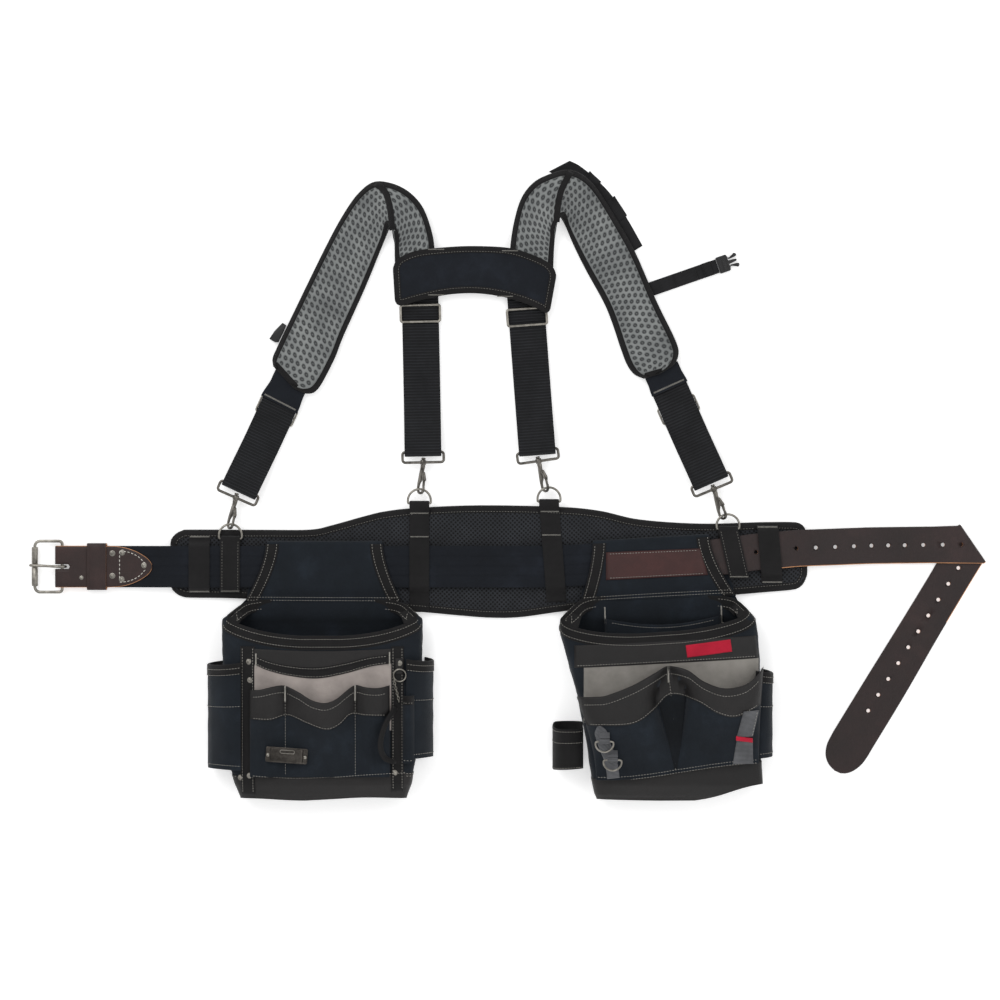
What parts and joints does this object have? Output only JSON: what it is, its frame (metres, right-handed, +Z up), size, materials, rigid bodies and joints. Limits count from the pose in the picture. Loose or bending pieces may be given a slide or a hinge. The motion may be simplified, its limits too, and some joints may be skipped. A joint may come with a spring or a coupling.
{
  "type": "tool belt",
  "caption": "Padded work belt laid out flat, with two tool pouches, a roller buckle, a leather strap and clip-on suspenders with padded shoulders and a chest strap.",
  "frame": {"origin": "middle of the laid-out belt's footprint, on the surface that it lies on", "axes": "+X along the belt from the buckle to the leather strap, +Y from the pouches towards the shoulder pads, +Z up from the surface"},
  "size_m": [1.3255, 0.882, 0.0881],
  "materials": {
    "pad_fabric": "dense woven polyester, navy black",
    "pouch_fabric": "coated canvas, navy black",
    "binding": "black tape with light stitching",
    "webbing": "ribbed polyester webbing",
    "spacer_mesh": "grey three-dimensional spacer mesh",
    "lining": "grey suede lining",
    "grey_tape": "grey woven tape",
    "label": "plain red woven label",
    "thread": "light grey thread",
    "strap_leather": "dark brown oiled leather, raw tan edge",
    "tab_leather": "brown leather, satin",
    "black_leather": "black leather, satin",
    "hardware": "antique nickel plate",
    "plastic": "moulded acetal"
  },
  "bodies": {
    "root": {"belt_pad": "pad_fabric", "belt_core": "pad_fabric", "buckle_tab": "tab_leather", "belt_tail": "strap_leather", "outer_left_loop": "binding", "outer_right_loop": "binding", "left_shoulder_pad": "spacer_mesh", "right_shoulder_pad": "spacer_mesh", "yoke_patch": "pad_fabric", "sternum_socket": "plastic", "sternum_track": "binding", "front_left_ring_loop": "binding", "front_left_webbing": "webbing", "back_left_ring_loop": "binding", "back_left_webbing": "webbing", "back_right_ring_loop": "binding", "back_right_webbing": "webbing", "front_right_ring_loop": "binding", "front_right_webbing": "webbing"},
    "buckle_frame": {"buckle_frame": "hardware"},
    "buckle_roller": {"buckle_roller": "hardware"},
    "buckle_tongue": {"buckle_tongue": "hardware"},
    "belt_keeper": {"belt_keeper": "tab_leather"},
    "left_pouch": {"left_pouch_tunnel": "pouch_fabric", "left_pouch_body": "pouch_fabric", "left_front_pockets": "pouch_fabric", "left_outer_side_pocket": "pouch_fabric", "left_inner_side_pocket": "pouch_fabric", "tape_clip": "hardware"},
    "right_pouch": {"right_pouch_tunnel": "pouch_fabric", "right_pouch_body": "pouch_fabric", "right_front_pockets": "pouch_fabric", "right_side_pocket": "pouch_fabric", "hammer_loop": "binding"},
    "upper_accessory_ring": {"upper_accessory_ring": "hardware"},
    "lower_accessory_ring": {"lower_accessory_ring": "hardware"},
    "sternum_strap": {"sternum_strap": "webbing", "sternum_plug": "plastic"},
    "prong_upper": {"prong_upper": "plastic"},
    "prong_lower": {"prong_lower": "plastic"},
    "front_left_d_ring": {"front_left_d_ring": "hardware"},
    "front_left_swivel_eye": {"front_left_swivel_eye": "hardware"},
    "front_left_hook": {"front_left_hook": "hardware"},
    "front_left_trigger": {"front_left_trigger": "hardware"},
    "front_left_slider": {"front_left_slider": "hardware"},
    "back_left_d_ring": {"back_left_d_ring": "hardware"},
    "back_left_swivel_eye": {"back_left_swivel_eye": "hardware"},
    "back_left_hook": {"back_left_hook": "hardware"},
    "back_left_trigger": {"back_left_trigger": "hardware"},
    "back_left_slider": {"back_left_slider": "hardware"},
    "back_right_d_ring": {"back_right_d_ring": "hardware"},
    "back_right_swivel_eye": {"back_right_swivel_eye": "hardware"},
    "back_right_hook": {"back_right_hook": "hardware"},
    "back_right_trigger": {"back_right_trigger": "hardware"},
    "back_right_slider": {"back_right_slider": "hardware"},
    "front_right_d_ring": {"front_right_d_ring": "hardware"},
    "front_right_swivel_eye": {"front_right_swivel_eye": "hardware"},
    "front_right_hook": {"front_right_hook": "hardware"},
    "front_right_trigger": {"front_right_trigger": "hardware"},
    "front_right_slider": {"front_right_slider": "hardware"}
  },
  "joints": [
    {"name": "buckle_frame_flip", "type": "hinge", "parent": "root", "child": "buckle_frame", "pos_m": [-0.6175, -0.122, 0.00855], "axis": [0, 1, 0], "range_deg": [0, 45]},
    {"name": "buckle_roller_spin", "type": "hinge", "parent": "buckle_frame", "child": "buckle_roller", "pos_m": [-0.656, -0.122, 0.00855], "axis": [0, 1, 0], "continuous": true},
    {"name": "buckle_tongue_lift", "type": "hinge", "parent": "buckle_frame", "child": "buckle_tongue", "pos_m": [-0.6175, -0.122, 0.00855], "axis": [0, 1, 0], "range_deg": [0, 70]},
    {"name": "belt_keeper_slide", "type": "slide", "parent": "root", "child": "belt_keeper", "axis": [1, 0, 0], "range_m": [-0.003, 0.003]},
    {"name": "front_left_ring_tilt", "type": "hinge", "parent": "root", "child": "front_left_d_ring", "pos_m": [-0.3847, -0.0831, 0.0142], "axis": [1, 0, 0], "range_deg": [0, 12]},
    {"name": "front_left_eye_tilt", "type": "hinge", "parent": "root", "child": "front_left_swivel_eye", "pos_m": [-0.3712, -0.01341, 0.0142], "axis": [-0.9165, 0.4, 0], "range_deg": [0, 4.7]},
    {"name": "front_left_hook_swivel", "type": "hinge", "parent": "front_left_swivel_eye", "child": "front_left_hook", "pos_m": [-0.377, -0.0267, 0.0142], "axis": [-0.2059, -0.9786, 0], "range_deg": [0, 72]},
    {"name": "front_left_trigger_press", "type": "hinge", "parent": "front_left_hook", "child": "front_left_trigger", "pos_m": [-0.37833, -0.04328, 0.01711], "axis": [0.7917, -0.1666, -0.5878], "range_deg": [0, 12], "stiffness_Nm_per_rad": 0.02, "springref_deg": -8.59},
    {"name": "front_left_slider_slide", "type": "slide", "parent": "root", "child": "front_left_slider", "axis": [0.4214, 0.9069, 0], "range_m": [-0.028, 0.012]},
    {"name": "back_left_ring_tilt", "type": "hinge", "parent": "root", "child": "back_left_d_ring", "pos_m": [-0.1233, -0.0346, 0.0142], "axis": [1, 0, 0], "range_deg": [0, 12]},
    {"name": "back_left_eye_tilt", "type": "hinge", "parent": "root", "child": "back_left_swivel_eye", "pos_m": [-0.11829, 0.0367, 0.0142], "axis": [-0.9998, -0.02, 0], "range_deg": [0, 4.67]},
    {"name": "back_left_hook_swivel", "type": "hinge", "parent": "back_left_swivel_eye", "child": "back_left_hook", "pos_m": [-0.118, 0.0222, 0.0142], "axis": [-0.0942, -0.9956, 0], "range_deg": [0, 72]},
    {"name": "back_left_trigger_press", "type": "hinge", "parent": "back_left_hook", "child": "back_left_trigger", "pos_m": [-0.11745, 0.00557, 0.01711], "axis": [0.8054, -0.0762, -0.5878], "range_deg": [0, 12], "stiffness_Nm_per_rad": 0.02, "springref_deg": -8.59},
    {"name": "back_left_slider_slide", "type": "slide", "parent": "root", "child": "back_left_slider", "axis": [-0.02, 0.9998, 0], "range_m": [-0.08, 0.006]},
    {"name": "back_right_ring_tilt", "type": "hinge", "parent": "root", "child": "back_right_d_ring", "pos_m": [0.056, -0.0322, 0.0142], "axis": [1, 0, 0], "range_deg": [0, 8]},
    {"name": "back_right_eye_tilt", "type": "hinge", "parent": "root", "child": "back_right_swivel_eye", "pos_m": [0.03957, 0.03836, 0.0142], "axis": [-0.9901, -0.14, 0], "range_deg": [0, 3.06]},
    {"name": "back_right_hook_swivel", "type": "hinge", "parent": "back_right_swivel_eye", "child": "back_right_hook", "pos_m": [0.0416, 0.024, 0.0142], "axis": [0.2438, -0.9698, 0], "range_deg": [0, 72]},
    {"name": "back_right_trigger_press", "type": "hinge", "parent": "back_right_hook", "child": "back_right_trigger", "pos_m": [0.04767, 0.00851, 0.01711], "axis": [0.7846, 0.1972, -0.5878], "range_deg": [0, 12], "stiffness_Nm_per_rad": 0.02, "springref_deg": -8.59},
    {"name": "back_right_slider_slide", "type": "slide", "parent": "root", "child": "back_right_slider", "axis": [-0.0752, 0.9972, 0], "range_m": [-0.075, 0.006]},
    {"name": "front_right_ring_tilt", "type": "hinge", "parent": "root", "child": "front_right_d_ring", "pos_m": [0.3035, -0.0694, 0.0142], "axis": [1, 0, 0], "range_deg": [0, 5]},
    {"name": "front_right_eye_tilt", "type": "hinge", "parent": "root", "child": "front_right_swivel_eye", "pos_m": [0.27845, -0.00141, 0.0142], "axis": [-0.9238, -0.3829, 0], "range_deg": [0, 1.97]},
    {"name": "front_right_hook_swivel", "type": "hinge", "parent": "front_right_swivel_eye", "child": "front_right_hook", "pos_m": [0.284, -0.0148, 0.0142], "axis": [0.3252, -0.9457, 0], "range_deg": [0, 72]},
    {"name": "front_right_trigger_press", "type": "hinge", "parent": "front_right_hook", "child": "front_right_trigger", "pos_m": [0.29137, -0.02972, 0.01711], "axis": [0.7651, 0.2631, -0.5878], "range_deg": [0, 12], "stiffness_Nm_per_rad": 0.02, "springref_deg": -8.59},
    {"name": "front_right_slider_slide", "type": "slide", "parent": "root", "child": "front_right_slider", "axis": [-0.4019, 0.9157, 0], "range_m": [-0.016, 0.012]},
    {"name": "left_pouch_slide", "type": "slide", "parent": "root", "child": "left_pouch", "axis": [1, 0, 0], "range_m": [-0.006, 0.006]},
    {"name": "right_pouch_slide", "type": "slide", "parent": "root", "child": "right_pouch", "axis": [1, 0, 0], "range_m": [-0.012, 0.005]},
    {"name": "upper_accessory_ring_swing", "type": "hinge", "parent": "right_pouch", "child": "upper_accessory_ring", "pos_m": [0.13, -0.357, 0.0868], "axis": [-1, 0, 0], "range_deg": [0, 60]},
    {"name": "lower_accessory_ring_swing", "type": "hinge", "parent": "right_pouch", "child": "lower_accessory_ring", "pos_m": [0.141, -0.382, 0.0868], "axis": [-1, 0, 0], "range_deg": [0, 60]},
    {"name": "sternum_strap_slide", "type": "slide", "parent": "root", "child": "sternum_strap", "axis": [0.4392, -0.8984, 0], "range_m": [-0.02, 0.02]},
    {"name": "prong_upper_flex", "type": "hinge", "parent": "sternum_strap", "child": "prong_upper", "pos_m": [0.30482, 0.30505, 0.0034], "axis": [0, 0, -1], "range_deg": [0, 8], "stiffness_Nm_per_rad": 0.05, "springref_deg": -2.86},
    {"name": "prong_lower_flex", "type": "hinge", "parent": "sternum_strap", "child": "prong_lower", "pos_m": [0.30804, 0.29579, 0.0034], "axis": [0, 0, 1], "range_deg": [0, 8], "stiffness_Nm_per_rad": 0.05, "springref_deg": -2.86}
  ],
  "couplings": [
    {"joint": "front_left_eye_tilt", "follows": "front_left_ring_tilt", "ratio": 0.3873},
    {"joint": "back_left_eye_tilt", "follows": "back_left_ring_tilt", "ratio": 0.385},
    {"joint": "back_right_eye_tilt", "follows": "back_right_ring_tilt", "ratio": 0.3767},
    {"joint": "front_right_eye_tilt", "follows": "front_right_ring_tilt", "ratio": 0.3838},
    {"joint": "prong_lower_flex", "follows": "prong_upper_flex", "ratio": 1}
  ]
}
